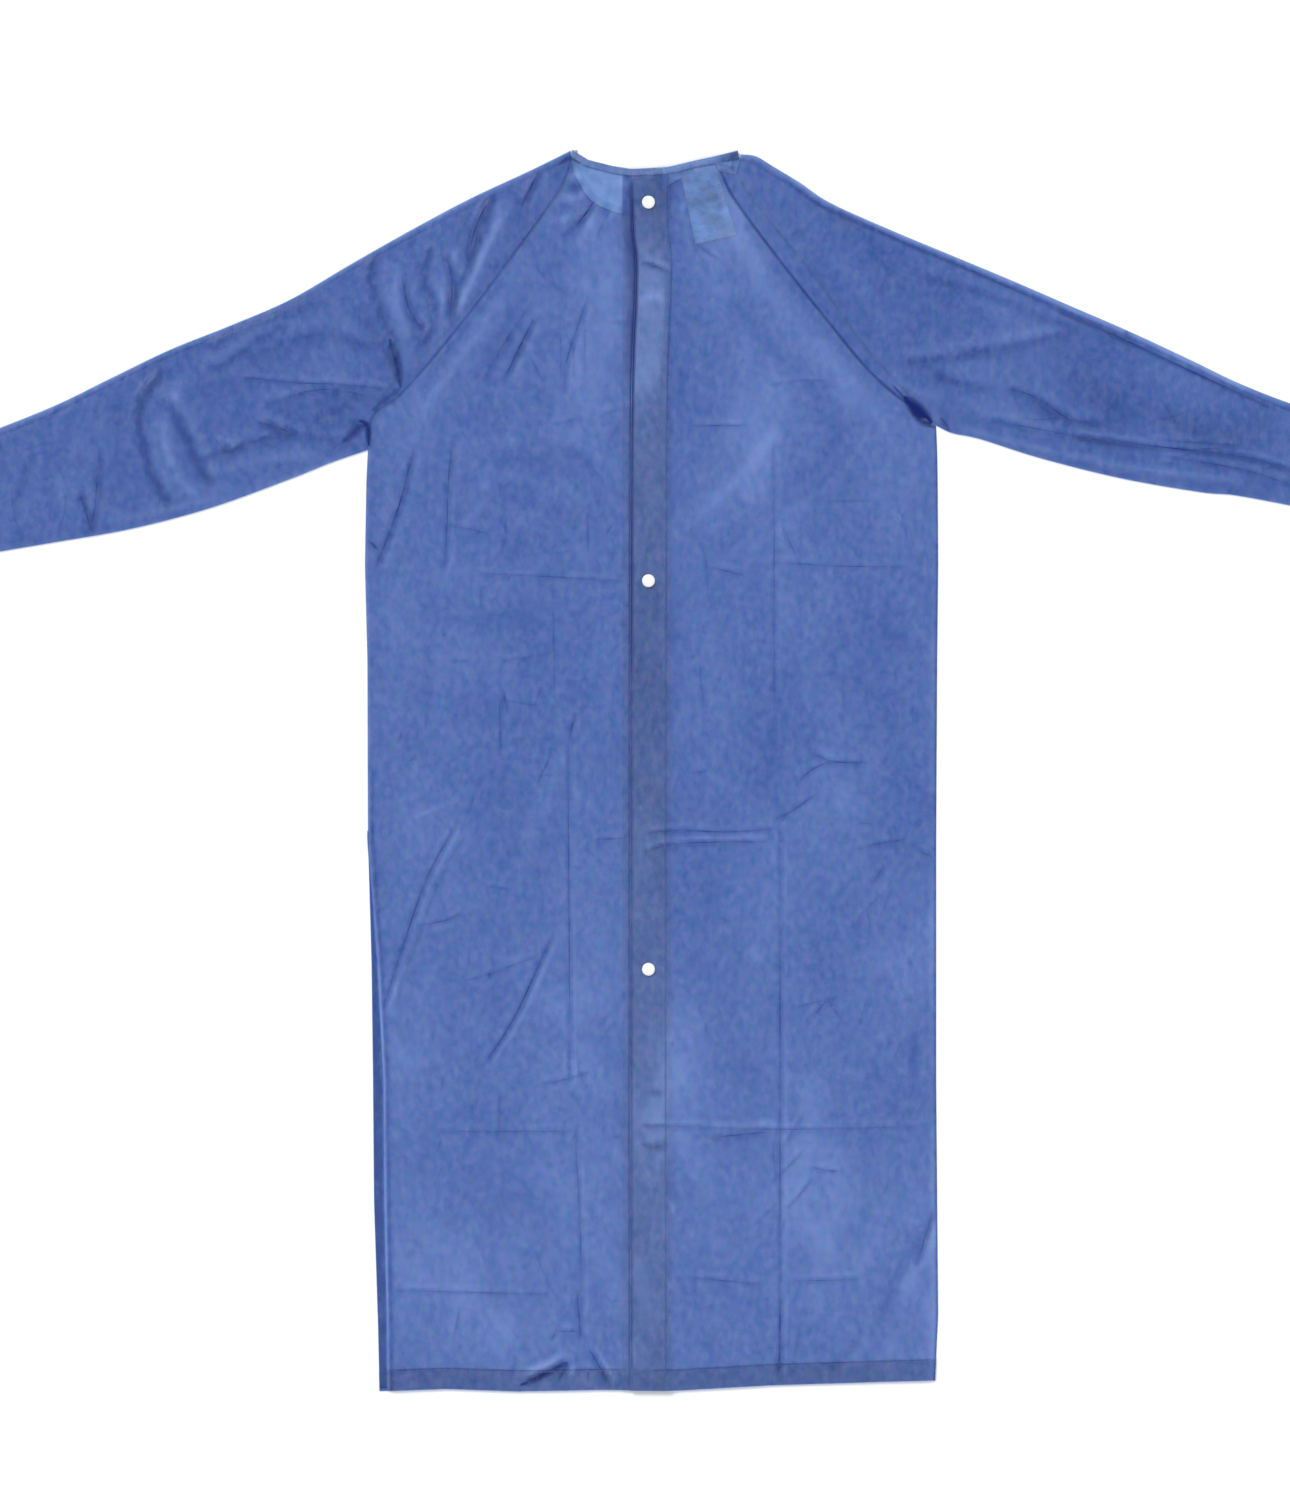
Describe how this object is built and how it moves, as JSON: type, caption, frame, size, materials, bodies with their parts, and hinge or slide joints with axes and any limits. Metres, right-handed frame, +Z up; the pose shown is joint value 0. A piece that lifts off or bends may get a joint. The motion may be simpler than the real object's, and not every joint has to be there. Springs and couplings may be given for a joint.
{
  "type": "sleeved apron",
  "caption": "Long-sleeved over-apron of see-through blue plastic film, laid flat with its snapped back opening up: raglan sleeves, bound neck, turned hem.",
  "frame": {"origin": "middle of the flat underside, on the surface that the garment lies on", "axes": "+X to the wearer's right, along the spread sleeves; +Y from the hem to the neck; +Z up out of the surface, through the back opening"},
  "size_m": [1.536, 1.2411, 0.0073],
  "materials": {
    "film": "soft see-through plastic film with a low sheen, creased from its packing",
    "binding": "the same film folded to a narrow binding",
    "label": "smooth woven tape, bare",
    "snap": "moulded, satin gloss"
  },
  "bodies": {
    "root": {"front_panel": "film", "back_left_panel": "film", "back_right_panel": "film", "sleeve_left": "film", "sleeve_right": "film", "neck_binding_front": "binding", "neck_binding_back_left": "binding", "neck_binding_back_right": "binding", "neck_label": "label", "snap_cap_top": "snap", "snap_cap_middle": "snap", "snap_cap_bottom": "snap"}
  },
  "joints": []
}
